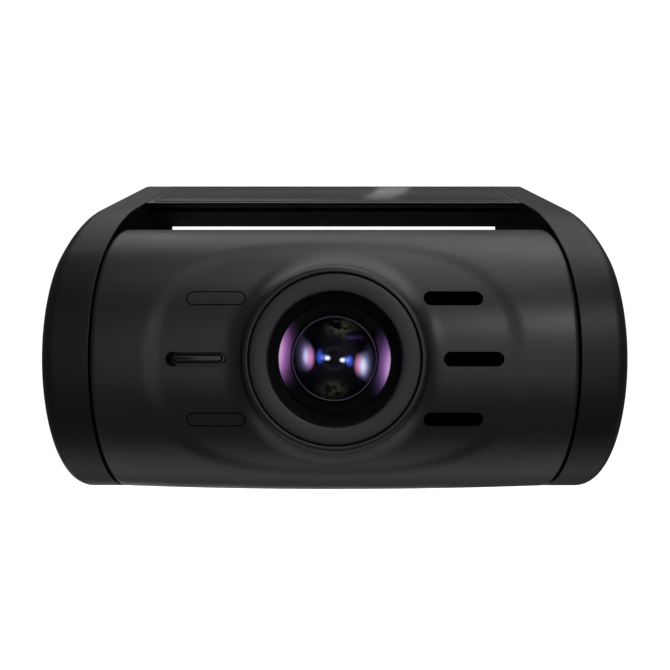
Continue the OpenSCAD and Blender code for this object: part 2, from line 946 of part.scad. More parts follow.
placed() {
    mount_plate();
    adhesive_pad();
    yoke_frame();
    side_cap(-1);  // side_cap_left
    side_cap(1);  // side_cap_right
    hinge_bush(-1);  // hinge_bush_left
    hinge_bush(1);  // hinge_bush_right
    friction_washers();
    front_cover();
    rear_cover();
    hinge_nut(-1);  // hinge_nut_left
    hinge_nut(1);  // hinge_nut_right
    hinge_screws();
    spring_washers();
    case_screws();
    lens_bezel();
    lens_shroud();
    front_glass();
    lens_barrel();
    inner_glass();
    rear_glass();
    lens_holder();
    ir_filter();
    image_sensor();
    sensor_board();
    flat_cable();
    battery();
    main_board();
    processor();
    heat_spreader();
    card_socket();
    memory_card();
    usb_socket();
    lcd_module();
    screen_window();
    button_board();
    tact_switches();
    button(0);  // button_power
    button(1);  // button_up
    button(2);  // button_down
    button(3);  // button_menu
    speaker();
    speaker_mesh();
    microphone();
    slot_blank(1);  // slot_blank_upper
    slot_blank(-1);  // slot_blank_lower
    light_window();
    status_led();
    led_board();
}
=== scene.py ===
import json
import math

import bmesh
import bpy
from mathutils import Matrix, Vector


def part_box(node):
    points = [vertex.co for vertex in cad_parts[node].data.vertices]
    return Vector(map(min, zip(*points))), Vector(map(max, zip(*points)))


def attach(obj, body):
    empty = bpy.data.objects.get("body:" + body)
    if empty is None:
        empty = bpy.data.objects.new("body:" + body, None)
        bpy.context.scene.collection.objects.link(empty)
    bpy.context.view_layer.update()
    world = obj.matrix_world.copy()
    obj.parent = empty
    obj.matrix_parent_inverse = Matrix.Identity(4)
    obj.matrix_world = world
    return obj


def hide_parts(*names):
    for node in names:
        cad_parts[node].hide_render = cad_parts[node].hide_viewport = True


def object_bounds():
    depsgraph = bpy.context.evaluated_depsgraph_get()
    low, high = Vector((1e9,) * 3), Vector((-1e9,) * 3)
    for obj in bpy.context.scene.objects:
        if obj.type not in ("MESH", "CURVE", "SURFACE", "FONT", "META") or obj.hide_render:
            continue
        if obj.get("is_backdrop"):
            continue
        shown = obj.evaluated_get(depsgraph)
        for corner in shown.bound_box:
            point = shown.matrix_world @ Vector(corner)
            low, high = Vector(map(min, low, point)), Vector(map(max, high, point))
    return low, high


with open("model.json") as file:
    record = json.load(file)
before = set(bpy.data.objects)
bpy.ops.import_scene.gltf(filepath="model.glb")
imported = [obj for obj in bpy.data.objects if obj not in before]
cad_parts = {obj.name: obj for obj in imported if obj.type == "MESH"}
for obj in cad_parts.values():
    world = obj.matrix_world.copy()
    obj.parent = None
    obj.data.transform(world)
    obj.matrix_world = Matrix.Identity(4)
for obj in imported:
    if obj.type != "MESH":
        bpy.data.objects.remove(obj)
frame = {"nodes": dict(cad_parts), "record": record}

cad_low, cad_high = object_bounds()

# ---- Yoke ---------------------------------------------------------------------------------
# One ABS moulding: two flat side arms and a wedge-shaped bridge behind the barrel. Each arm is
# round where it carries the barrel, then its top runs out on a long curve into the straight
# windscreen side. The outer edges are well rounded, and the faces under the bridge are painted
# dead black with no shine as painted shadow.
MM = 0.001
bush_low, bush_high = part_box("hinge_bush_left")
PIVOT = Vector((0, (bush_low.y + bush_high.y) / 2, (bush_low.z + bush_high.z) / 2))
yoke_low, yoke_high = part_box("yoke_frame")
plate_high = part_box("mount_plate")[1]
SLOPE = math.radians(20)
BARREL_R = (PIVOT.z - yoke_low.z) / MM
ARM_OUT = yoke_high.x / MM
SLIDE = 0.12
ARM_IN = plate_high.x / MM + SLIDE
REAR = (yoke_high.y - PIVOT.y) / MM
FACE = BARREL_R + 2.15
PLATE_START, PLATE_LEN, PLATE_T = 19.5, 24.3, 1.6
HOOK_X, HOOK_Y, HOOK_LEN, HOOK_W, STEM_W = 25, 17, 3, 5, 2.4
LIP_TOP, LIP_T, STEM_LAP = 2.82, 1.0, 0.48
RELEASE = 4
CAP_R = 13.6


def at(x, y, z):
    """A point given in millimetres from the middle of the tilt axis."""
    return PIVOT + Vector((x, y, z)) * MM


def let_go():
    """Leaves edit mode and deselects everything."""
    if bpy.context.object and bpy.context.object.mode != "OBJECT":
        bpy.ops.object.mode_set(mode="OBJECT")
    bpy.ops.object.select_all(action="DESELECT")


def take(piece):
    """Makes a piece the only one selected."""
    let_go()
    piece.select_set(True)
    bpy.context.view_layer.objects.active = piece


def settle(piece):
    """Puts the piece's place, turn and size into its mesh."""
    take(piece)
    bpy.ops.object.transform_apply(location=True, rotation=True, scale=True)
    return piece


def apply(piece, kind, **settings):
    """Adds a modifier with its settings and applies it."""
    take(piece)
    modifier = piece.modifiers.new(kind, kind)
    for name, value in settings.items():
        setattr(modifier, name, value)
    bpy.ops.object.modifier_apply(modifier=modifier.name)


def join(pieces):
    """Joins pieces into the first one."""
    take(pieces[0])
    for piece in pieces:
        piece.select_set(True)
    bpy.ops.object.join()
    return pieces[0]


def carve(piece, tools, how="DIFFERENCE"):
    """Cuts, joins or keeps what tools cover, then throws the tools away."""
    tool = join(tools)
    apply(piece, "BOOLEAN", object=tool, operation=how, solver="EXACT")
    bpy.data.objects.remove(tool)


def pick(piece, test, kind="EDGE"):
    """Goes into edit mode with the edges or faces picked whose points all pass the test."""
    take(piece)
    bpy.ops.object.mode_set(mode="EDIT")
    bpy.ops.mesh.select_mode(type=kind)
    bpy.ops.mesh.select_all(action="DESELECT")
    mesh = bmesh.from_edit_mesh(piece.data)
    parts = mesh.edges if kind == "EDGE" else mesh.faces
    for part in parts:
        points = [(vertex.co - PIVOT) / MM for vertex in part.verts]
        if all(test(point) for point in points):
            part.select_set(True)
    bmesh.update_edit_mesh(piece.data)


def soften(piece, test, width, segments):
    """Rounds the edges whose two ends pass the test."""
    pick(piece, test)
    bpy.ops.mesh.bevel(offset=width * MM, segments=segments, affect="EDGES", clamp_overlap=False)
    let_go()


def block(x0, x1, y0, y1, z0, z1):
    """A block between two corners."""
    let_go()
    middle = at((x0 + x1) / 2, (y0 + y1) / 2, (z0 + z1) / 2)
    bpy.ops.mesh.primitive_cube_add(size=MM, location=middle)
    piece = bpy.context.object
    piece.scale = (x1 - x0, y1 - y0, z1 - z0)
    return settle(piece)


def on_slope(piece):
    """Takes a piece modelled level at the tilt axis up onto the windscreen side."""
    lift = Matrix.Translation(Vector((0, PLATE_START, FACE)) * MM)
    turn = Matrix.Rotation(SLOPE, 4, "X")
    home = Matrix.Translation(PIVOT)
    piece.matrix_world = home @ turn @ lift @ home.inverted()
    return settle(piece)


def rod(radius, x0, x1):
    """A round bar along the tilt axis."""
    let_go()
    bpy.ops.mesh.primitive_cylinder_add(
        vertices=96, radius=radius * MM, depth=(x1 - x0) * MM,
        location=at((x0 + x1) / 2, 0, 0), rotation=(0, math.radians(90), 0))
    return settle(bpy.context.object)


def finish(piece, name, paint, slot, body, *nodes, angle=32):
    """Names and paints a piece, shades it and hangs it on its body in place of CAD nodes."""
    piece.name = name
    piece.data.name = name
    if not piece.data.materials:
        piece.data.materials.append(paint)
    settle(piece)
    bpy.ops.object.shade_smooth_by_angle(angle=math.radians(angle))
    if nodes:
        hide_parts(*nodes)
    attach(piece, body)
    let_go()
    return piece


def colour(code):
    """An sRGB hex colour as the linear values a shader takes."""
    parts = [int(code[i:i + 2], 16) / 255 for i in (1, 3, 5)]
    return [p / 12.92 if p <= 0.04045 else ((p + 0.055) / 1.055) ** 2.4 for p in parts] + [1]


def add(tree, kind, inputs=None, **settings):
    """Adds a node with its settings; inputs are plain values or sockets to link."""
    node = tree.nodes.new(kind)
    for name, value in settings.items():
        setattr(node, name, value)
    for name, value in (inputs or {}).items():
        if isinstance(value, bpy.types.NodeSocket):
            tree.links.new(value, node.inputs[name])
        else:
            node.inputs[name].default_value = value
    return node


def new_material(name):
    """An empty material; gives it, its tree, its shader and the object's own coordinates."""
    paint = bpy.data.materials.new(name)
    paint.use_nodes = True
    tree = paint.node_tree
    place = add(tree, "ShaderNodeTexCoord").outputs["Object"]
    return paint, tree, tree.nodes["Principled BSDF"], place


def moulded(name, tone, worn, roughness, grain=0.22, relief=0.006, specular=0.5):
    """Moulded plastic: fine spark-eroded grain, a slight drift of tone and of shine."""
    paint, tree, shader, place = new_material(name)
    fine = add(tree, "ShaderNodeTexNoise", {"Vector": place, "Scale": 1 / (grain * MM),
                                            "Detail": 3.0, "Roughness": 0.6})
    drift = add(tree, "ShaderNodeTexNoise", {"Vector": place, "Scale": 1 / (9 * MM),
                                             "Detail": 4.0, "Roughness": 0.55})
    mix = add(tree, "ShaderNodeMix", {"Factor": drift.outputs["Fac"], "A": colour(tone),
                                      "B": colour(worn)}, data_type="RGBA")
    tree.links.new(mix.outputs["Result"], shader.inputs["Base Color"])
    shine = add(tree, "ShaderNodeMapRange", {"Value": drift.outputs["Fac"], "From Min": 0.3,
                                             "From Max": 0.7, "To Min": roughness - 0.03,
                                             "To Max": roughness + 0.04})
    tree.links.new(shine.outputs["Result"], shader.inputs["Roughness"])
    bump = add(tree, "ShaderNodeBump", {"Height": fine.outputs["Fac"], "Distance": relief * MM,
                                        "Strength": 1.0})
    tree.links.new(bump.outputs["Normal"], shader.inputs["Normal"])
    shader.inputs["IOR"].default_value = 1.5
    shader.inputs["Specular IOR Level"].default_value = specular
    return paint


# Deep black with a soft satin sheen that only shows where the arms turn to the light.
yoke_abs = moulded("moulded_black_abs", "#0c0c0d", "#101011", 0.42, specular=0.32)
# Painted shadow: dead black with no shine, laid on the faces under the bridge and under the plate
# so that they read as shadow.
painted_shadow_abs = moulded("painted_shadow_black_abs", "#050505", "#070707", 0.95, specular=0.02)

ARM_EDGE = 2.4
BLEND = math.radians(40)
blend_r = BARREL_R + (FACE - BARREL_R) / (1 - math.cos(BLEND - SLOPE))
blend_y = (blend_r - BARREL_R) * math.sin(BLEND)
blend_z = -(blend_r - BARREL_R) * math.cos(BLEND)
face_z = FACE / math.cos(SLOPE)

# From the rear corner the arm's edge runs down and forwards, and a hollow fillet of INNER_R takes
# it into the round part. The loop finds how far along the edge that fillet starts.
FIN_Z = 28.0
CREST = 90 + math.degrees(BLEND)
corner = Vector((REAR, FIN_Z))
run = Vector((-0.571, -0.821)).normalized()
away = Vector((-run.y, run.x))
INNER_R = 5.0
reach = 0.0
while (corner + run * reach + away * INNER_R).length > BARREL_R + INNER_R:
    reach += 0.01
hollow = corner + run * reach + away * INNER_R
start = math.atan2(-away.y, -away.x)
stop = math.atan2(-hollow.y, -hollow.x)
outline = []
for i in range(9):
    turn = start + math.remainder(stop - start, 2 * math.pi) * i / 8
    outline.append((hollow.x + INNER_R * math.cos(turn), hollow.y + INNER_R * math.sin(turn)))
rear_turn = math.degrees(math.atan2(hollow.y, hollow.x))
for i in range(1, 121):
    turn = math.radians(rear_turn - (rear_turn + 360 - CREST) * i / 120)
    outline.append((BARREL_R * math.cos(turn), BARREL_R * math.sin(turn)))
for i in range(1, 11):
    turn = math.radians(90) + BLEND - (BLEND - SLOPE) * i / 10
    outline.append((blend_y + blend_r * math.cos(turn), blend_z + blend_r * math.sin(turn)))
outline.append((REAR, face_z + REAR * math.tan(SLOPE)))
outline.append((REAR, FIN_Z))

let_go()
bpy.ops.mesh.primitive_circle_add(vertices=len(outline), radius=MM, fill_type="NGON")
arm = bpy.context.object
for vertex, (y, z) in zip(arm.data.vertices, outline):
    vertex.co = at(ARM_IN, y, z)
take(arm)
bpy.ops.object.mode_set(mode="EDIT")
bpy.ops.mesh.select_all(action="SELECT")
bpy.ops.mesh.extrude_region_move(
    TRANSFORM_OT_translate={"value": ((ARM_OUT - ARM_IN) * MM, 0, 0)})
bpy.ops.mesh.select_all(action="SELECT")
bpy.ops.mesh.normals_make_consistent(inside=False)
let_go()
soften(arm, lambda p: p.y > REAR - 0.01 and abs(p.z - FIN_Z) < 0.01, 1.2, 5)
soften(arm, lambda p: p.x > ARM_OUT - 0.01, ARM_EDGE, 9)
soften(arm, lambda p: p.x < ARM_IN + 0.01, 0.2, 2)
# The side cap's seat, the pocket behind it, the bush's bore and the friction washer's seat.
for radius, x0, x1 in ((CAP_R + 0.1, 43.5, 47), (12.0, 40.5, 47), (5.0, 36, 47),
                       (8.1, 36.3, 37.6)):
    carve(arm, [rod(radius, x0, x1)])

take(arm)
bpy.ops.object.duplicate()
other = bpy.context.object
other.matrix_world = Matrix.Scale(-1, 4, Vector((1, 0, 0)))
settle(other)
bpy.ops.object.mode_set(mode="EDIT")
bpy.ops.mesh.select_all(action="SELECT")
bpy.ops.mesh.normals_make_consistent(inside=False)
let_go()

BRIDGE_FRONT, BRIDGE_UNDER = 15.5, 29.75
bridge = block(-ARM_IN - 0.05, ARM_IN + 0.05, BRIDGE_FRONT, REAR, BRIDGE_UNDER, 45)
soften(bridge, lambda p: p.y > REAR - 0.01 and p.z < 30, 0.6, 4)
top = on_slope(block(-50, 50, -30, 60, 0, 40))
channel = on_slope(block(-50, 50, -30, PLATE_LEN + SLIDE, -PLATE_T - SLIDE, 1))
carve(bridge, [top])
carve(bridge, [channel])
yoke = join([arm, other])
carve(yoke, [bridge], "UNION")
# Each slot is a T in section: the hook drops in at its open end and slides RELEASE to its place.
slots = []
near, far = HOOK_Y - RELEASE - SLIDE, HOOK_Y + HOOK_LEN + SLIDE
floor, ledge = -LIP_TOP - LIP_T - SLIDE, -LIP_TOP + SLIDE
stem, lip = STEM_W / 2 + SLIDE, HOOK_W / 2 + SLIDE
for x in (-HOOK_X, HOOK_X):
    slots.append(on_slope(block(x - stem, x + stem, near, far, floor, 0.5)))
    slots.append(on_slope(block(x - lip, x + lip, near, far, floor, ledge)))
    slots.append(on_slope(block(x - lip, x + lip, near, far - RELEASE, floor, 0.5)))
for slot in slots:
    carve(yoke, [slot])
yoke.data.materials.append(yoke_abs)
yoke.data.materials.append(painted_shadow_abs)
# Faces under the bridge between the arms get the painted shadow material.
for face in yoke.data.polygons:
    middle = (face.center - PIVOT) / MM
    inner = abs(middle.x) < ARM_IN + 0.02
    under = face.normal.z < -0.5 or middle.y < REAR - 0.5
    face.material_index = 1 if inner and under else 0
finish(yoke, "yoke", yoke_abs, "yoke_plastic", "yoke", "yoke_frame")
apply(yoke, "WEIGHTED_NORMAL", keep_sharp=True, weight=80)

# ---- Windscreen plate and pad -------------------------------------------------------------
# A thin black ABS plate that fills the bay between the arms, with two hooks underneath. A foam
# pad in a shallow pocket on its face sticks it to the windscreen; its liner is satin black.
POCKET, PAD_EDGE, PAD_PROUD = 0.5, 1.5, 0.2
plate_half = ARM_IN - SLIDE
plate = block(-plate_half, plate_half, 0, PLATE_LEN, -PLATE_T, 0)
take(plate)
bpy.ops.object.mode_set(mode="EDIT")
bpy.ops.mesh.select_all(action="SELECT")
bpy.ops.mesh.bisect(plane_co=at(0, 0, -0.3), plane_no=(0, math.sin(SLOPE), math.cos(SLOPE)),
                    use_fill=True, clear_inner=True)
let_go()
soften(plate, lambda p: p.z > -0.01, 0.15, 2)
pick(plate, lambda p: p.z > -0.01, "FACE")
bpy.ops.mesh.inset(thickness=(PAD_EDGE - 0.15) * MM)
bpy.ops.mesh.extrude_region_move(TRANSFORM_OT_translate={"value": (0, 0, -POCKET * MM)})
let_go()
hooks = []
for x in (-HOOK_X, HOOK_X):
    hooks.append(block(x - STEM_W / 2, x + STEM_W / 2, HOOK_Y, HOOK_Y + HOOK_LEN,
                       -LIP_TOP - STEM_LAP, -PLATE_T + 0.1))
    hooks.append(block(x - HOOK_W / 2, x + HOOK_W / 2, HOOK_Y, HOOK_Y + HOOK_LEN,
                       -LIP_TOP - LIP_T, -LIP_TOP))
for hook in hooks:
    carve(plate, [hook], "UNION")
on_slope(plate)
# A lighter black than the yoke's and smoother, so that the plate shows between the arms.
plate_abs = moulded("moulded_plate_abs", "#1a1a1b", "#1f1f20", 0.3)
plate.data.materials.append(plate_abs)
plate.data.materials.append(painted_shadow_abs)
# Faces of the plate that don't face up get the painted shadow material.
for face in plate.data.polygons:
    face.material_index = 1 if face.normal.z < 0.2 else 0
finish(plate, "windscreen_plate", plate_abs, "black_abs", "mount", "mount_plate")

pad = block(-plate_half + PAD_EDGE, plate_half - PAD_EDGE, PAD_EDGE, PLATE_LEN - PAD_EDGE,
            -POCKET, PAD_PROUD)
soften(pad, lambda p: p.z > PAD_PROUD - 0.01, 0.12, 3)
on_slope(pad)
# Smooth, slightly glossy film with a fine ripple.
liner = moulded("foam_tape_liner", "#1a1a1b", "#1e1e1f", 0.16, grain=0.5, relief=0.004)
finish(pad, "adhesive_foam_pad", liner, "foam_tape", "mount", "adhesive_pad")

# ---- Front cover --------------------------------------------------------------------------
# The front half of the round barrel, moulded in satin black ABS with a shallow oval dish, a
# drafted collar that carries the lens, and six slot openings. The lower side is slightly full.
HALF = ARM_IN - 0.22
DISH_W, DISH_H, DISH_DEPTH, DISH_POWER = 57.4, 38.6, 0.32, 2.7
BELLY = 0.7
END_R = 0.4
COVER_TURN = math.radians(89.87)
FLOOR_R = BARREL_R - DISH_DEPTH
WALL = 1.7
COLLAR_Y = -(BARREL_R + 1.9)
COLLAR_R = 13.95
FILLET = 3.2
LIP = 0.75
DRAFT = math.tan(math.radians(7))


def ease(t):
    """Rises smoothly from 0 to 1 with t."""
    t = min(max(t, 0), 1)
    return t * t * (3 - 2 * t)


def shell_radius(x, turn):
    """Radius of the barrel at a place along it and an angle up from straight ahead."""
    radius = BARREL_R
    below = ease((-math.degrees(turn) - 35) / 50) * ease((145 + math.degrees(turn)) / 50)
    radius += BELLY * below * (1 - (x / HALF) ** 2)
    end = abs(x) - (HALF - END_R)
    if end > 0:
        radius -= END_R - math.sqrt(max(END_R ** 2 - end * end, 0))
    if math.cos(turn) > 0:
        z = BARREL_R * math.sin(turn)
        oval = (abs(2 * x / DISH_W) ** DISH_POWER
                + abs(2 * z / DISH_H) ** DISH_POWER) ** (1 / DISH_POWER)
        radius -= DISH_DEPTH * ease((1.02 - oval) / 0.1)
    return radius


def collar_foot(angle):
    """Radius of the collar's wall where its fillet starts, and the height of that place."""
    radius = COLLAR_R + 0.4
    for _ in range(4):
        z = radius * math.sin(angle)
        y = -math.sqrt(FLOOR_R ** 2 - z * z) - FILLET
        y = max(y, COLLAR_Y + 0.9)
        radius = COLLAR_R + (y - COLLAR_Y) * DRAFT
    return radius, y


# A flat sheet with a hole for the collar, its points near the hole evened out, then rolled up.
let_go()
bpy.ops.mesh.primitive_grid_add(x_subdivisions=180, y_subdivisions=168, size=2)
cover = bpy.context.object
for vertex in cover.data.vertices:
    vertex.co = Vector((vertex.co.x * HALF, vertex.co.y * COVER_TURN * BARREL_R, 0))
take(cover)
bpy.ops.object.mode_set(mode="EDIT")
mesh = bmesh.from_edit_mesh(cover.data)
for face in mesh.faces:
    middle = face.calc_center_median()
    z = BARREL_R * math.sin(middle.y / BARREL_R)
    radius, _ = collar_foot(math.atan2(z, middle.x))
    face.select_set(math.hypot(middle.x, z) < radius + FILLET)
bmesh.update_edit_mesh(cover.data)
bpy.ops.mesh.delete(type="FACE")

mesh = bmesh.from_edit_mesh(cover.data)
rim = [e for e in mesh.edges if e.is_boundary and e.calc_length() < 1
       and all(abs(v.co.x) < HALF - 1 and abs(v.co.y) < 34 for v in e.verts)]
loop = [rim[0].verts[0]]
used = set()
while True:
    step = [e for e in loop[-1].link_edges if e in rim and e not in used]
    if not step:
        break
    used.add(step[0])
    loop.append(step[0].other_vert(loop[-1]))
loop = loop[:-1]
first = math.atan2(BARREL_R * math.sin(loop[0].co.y / BARREL_R), loop[0].co.x)
second = math.atan2(BARREL_R * math.sin(loop[len(loop) // 8].co.y / BARREL_R),
                    loop[len(loop) // 8].co.x)
way = 1 if math.sin(second - first) > 0 else -1
for i, vertex in enumerate(loop):
    angle = first + way * 2 * math.pi * i / len(loop)
    radius, _ = collar_foot(angle)
    reach = radius + FILLET
    x, z = reach * math.cos(angle), reach * math.sin(angle)
    vertex.co = Vector((x, BARREL_R * math.asin(z / BARREL_R), 0))
    vertex.select_set(False)
mesh.verts.index_update()
hole_index = {v.index for v in loop}
for vertex in mesh.verts:
    z = BARREL_R * math.sin(vertex.co.y / BARREL_R)
    near = math.hypot(vertex.co.x, z) < 20
    vertex.select_set(near and vertex.index not in hole_index)
bmesh.update_edit_mesh(cover.data)
bpy.ops.mesh.select_mode(type="VERT")
bpy.ops.mesh.vertices_smooth(factor=0.5, repeat=25, zaxis=False)
let_go()

for vertex in cover.data.vertices:
    turn = vertex.co.y / BARREL_R
    radius = shell_radius(vertex.co.x, turn)
    vertex.co = at(vertex.co.x, -radius * math.cos(turn), radius * math.sin(turn))
outer_count = len(cover.data.vertices)
take(cover)
bpy.ops.object.mode_set(mode="EDIT")
bpy.ops.mesh.select_all(action="SELECT")
bpy.ops.mesh.normals_make_consistent(inside=False)
let_go()
centre_face = cover.data.polygons[0]
if centre_face.normal.dot(centre_face.center - PIVOT) < 0:
    cover.data.flip_normals()
apply(cover, "SOLIDIFY", thickness=WALL * MM, offset=-1.0)

take(cover)
bpy.ops.object.mode_set(mode="EDIT")
bpy.ops.mesh.select_mode(type="EDGE")
bpy.ops.mesh.select_all(action="DESELECT")
mesh = bmesh.from_edit_mesh(cover.data)
mesh.verts.ensure_lookup_table()
inner_index = {i + outer_count for i in hole_index}
wall_faces = [f for f in mesh.faces
              if all(v.index in hole_index or v.index in inner_index for v in f.verts)
              and any(v.index in inner_index for v in f.verts)
              and any(v.index in hole_index for v in f.verts)]
bmesh.ops.delete(mesh, geom=wall_faces, context="FACES_ONLY")
for edge in mesh.edges:
    if edge.is_boundary and all(v.index in hole_index for v in edge.verts):
        edge.select_set(True)
inner_ring = {}
for i in inner_index:
    p = (mesh.verts[i].co - PIVOT) / MM
    inner_ring[round(math.atan2(p.z, p.x), 3)] = p
bmesh.update_edit_mesh(cover.data)


def next_ring(piece, place):
    """Extrudes the picked loop and sets each point where place says for its angle."""
    bpy.ops.mesh.extrude_region_move()
    mesh = bmesh.from_edit_mesh(piece.data)
    for vertex in mesh.verts:
        if vertex.select:
            point = (vertex.co - PIVOT) / MM
            vertex.co = at(*place(math.atan2(point.z, point.x)))
    bmesh.update_edit_mesh(piece.data)


def foot_ring(share):
    """A ring of the fillet that runs from the dish's floor up into the collar's wall."""
    bend = math.radians(90) * share

    def place(angle):
        radius, top = collar_foot(angle)
        reach = radius + FILLET * (1 - math.sin(bend))
        x, z = reach * math.cos(angle), reach * math.sin(angle)
        floor = -math.sqrt(FLOOR_R ** 2 - z * z)
        foot = -math.sqrt(FLOOR_R ** 2 - (radius * math.sin(angle)) ** 2)
        rise = (foot - top) * (1 - math.cos(bend))
        return x, floor - rise, z
    return place


def plain_ring(radius, y):
    """A level ring about the lens axis."""
    return lambda angle: (radius * math.cos(angle), y, radius * math.sin(angle))


for i in range(1, 9):
    next_ring(cover, foot_ring(i / 8))
next_ring(cover, plain_ring(COLLAR_R + 0.05, COLLAR_Y + LIP))
for i in range(1, 7):
    bend = math.radians(90) * i / 6
    next_ring(cover, plain_ring(COLLAR_R - LIP * (1 - math.cos(bend)),
                                COLLAR_Y + LIP * (1 - math.sin(bend))))
# Inside the lip come the bezel's seat, the shroud's bore and the collar's inner end.
for radius, y in ((13.07, 0), (12.95, 0.12), (12.95, 1.6), (11.65, 1.6), (11.65, 5.5),
                  (13.4, 5.5)):
    next_ring(cover, plain_ring(radius, COLLAR_Y + y))


def meet_inner(angle):
    """The nearest place on the inner wall's own ring."""
    key = min(inner_ring, key=lambda a: abs(math.remainder(a - angle, 2 * math.pi)))
    point = inner_ring[key]
    return point.x, point.y, point.z


next_ring(cover, meet_inner)
bpy.ops.mesh.select_all(action="SELECT")
bpy.ops.mesh.remove_doubles(threshold=0.002 * MM)
bpy.ops.mesh.normals_make_consistent(inside=False)
let_go()

SLOT_X, SLOT_Z, SLOT_OUT, SLOT_LEN, SLOT_H, SLOT_GAP = 18.3, 9.35, 2.8, 9.2, 2.25, 0.18


def pill(x, z, length, height, y0, y1):
    """A bar with round ends, standing along Y."""
    let_go()
    bpy.ops.mesh.primitive_cylinder_add(
        vertices=48, radius=height / 2 * MM, depth=(y1 - y0) * MM,
        rotation=(math.radians(90), 0, 0))
    piece = settle(bpy.context.object)
    for vertex in piece.data.vertices:
        side = 1 if vertex.co.x > 1e-6 else -1
        vertex.co.x += side * (length - height) / 2 * MM
    piece.location = at(x, (y0 + y1) / 2, z)
    return settle(piece)


places = [(side * SLOT_X, row * SLOT_Z) for side in (-1, 1) for row in (-1, 1)]
places += [(side * (SLOT_X + SLOT_OUT), 0) for side in (-1, 1)]
blanks = []
for x, z in places[:2]:
    take(cover)
    bpy.ops.object.duplicate()
    blank = bpy.context.object
    plug = pill(x, z, SLOT_LEN - 2 * SLOT_GAP, SLOT_H - 2 * SLOT_GAP, -24, -10)
    carve(blank, [plug], "INTERSECT")
    blanks.append(blank)
carve(cover, [pill(x, z, SLOT_LEN, SLOT_H, -24, -10) for x, z in places])

# Near-black with a soft satin shine, which draws the wide band of light along the barrel.
shell_abs = moulded("satin_black_abs", "#171718", "#1b1b1c", 0.38)
finish(cover, "front_cover_shell", shell_abs, "shell_plastic", "barrel", "front_cover", angle=50)
for blank, side in zip(blanks, ("lower", "upper")):
    finish(blank, "slot_plug_" + side, shell_abs, "shell_plastic", "barrel",
           "slot_blank_" + side, angle=50)

# ---- Rear cover ---------------------------------------------------------------------------
# The back half of the barrel, moulded in the same ABS: flat behind, with the recess for the
# screen, four button holes, four deep screw wells and the openings for the card and plug.
BACK_Y = 17.0
SCREEN_X, SCREEN_W, SCREEN_H, SCREEN_T, SCREEN_GAP = -6, 48, 26, 1.2, 0.1
SCREW_X, SCREW_Z, SCREW_HOLE_R = 33, 12.5, 2.1
BUTTON_X, BUTTON_HOLE_R = 25.5, 2.36
let_go()
bpy.ops.mesh.primitive_grid_add(x_subdivisions=96, y_subdivisions=118, size=2)
back = bpy.context.object
for vertex in back.data.vertices:
    x = vertex.co.x * HALF
    turn = math.pi - COVER_TURN * vertex.co.y
    if turn > math.pi:
        turn -= 2 * math.pi
    radius = shell_radius(x, turn)
    y = -radius * math.cos(turn)
    z = radius * math.sin(turn)
    if y > BACK_Y:
        z *= BACK_Y / y
        y = BACK_Y
    vertex.co = at(x, y, z)
take(back)
bpy.ops.object.mode_set(mode="EDIT")
bpy.ops.mesh.select_all(action="SELECT")
bpy.ops.mesh.normals_make_consistent(inside=False)
let_go()
probe = back.data.polygons[len(back.data.polygons) // 2]
if probe.normal.dot(probe.center - PIVOT) < 0:
    back.data.flip_normals()
apply(back, "SOLIDIFY", thickness=1.8 * MM, offset=-1.0)

screws = [(x, z) for x in (-SCREW_X, SCREW_X) for z in (-SCREW_Z, SCREW_Z)]
button_names = ("button_power", "button_up", "button_down", "button_menu")
half_w, half_h = SCREEN_W / 2 + SCREEN_GAP, SCREEN_H / 2 + SCREEN_GAP
recess = block(SCREEN_X - half_w, SCREEN_X + half_w, BACK_Y - SCREEN_T, 20, -half_h, half_h)
opening = block(SCREEN_X - 22, SCREEN_X + 22, 10, 20, -11.5, 11.5)


def post(radius, x, z, y0, y1):
    """A round bar along Y."""
    let_go()
    bpy.ops.mesh.primitive_cylinder_add(
        vertices=48, radius=radius * MM, depth=(y1 - y0) * MM,
        location=at(x, (y0 + y1) / 2, z), rotation=(math.radians(90), 0, 0))
    return settle(bpy.context.object)


for tool in (recess, opening):
    carve(back, [tool])
holes = [post(SCREW_HOLE_R, x, z, 4, 20) for x, z in screws]
for name in button_names:
    low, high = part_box(name)
    z = ((low.z + high.z) / 2 - PIVOT.z) / MM
    holes.append(post(BUTTON_HOLE_R, BUTTON_X, z, 8, 20))
for name, room in (("memory_card", 0.4), ("usb_socket", 0.1)):
    low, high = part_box(name)
    low, high = (low - PIVOT) / MM, (high - PIVOT) / MM
    holes.append(block(low.x - room, high.x + room, low.y - room, high.y + room, -30, -12))
carve(back, holes)
wells = []
for x, z in screws:
    well = post(SCREW_HOLE_R + 0.65, x, z, 5.03, 15.6)
    carve(well, [post(SCREW_HOLE_R, x, z, 4, 20)])
    wells.append(well)
back = join([back] + wells)
finish(back, "rear_cover_shell", shell_abs, "shell_plastic", "barrel", "rear_cover", angle=28)

# ---- Lens bezel, shroud and glasses -------------------------------------------------------
# A satin ABS ring presses into the collar. Behind it a matt black shroud funnels down to the
# coated front glass; the second glass sits deeper, inside the black anodised lens barrel.


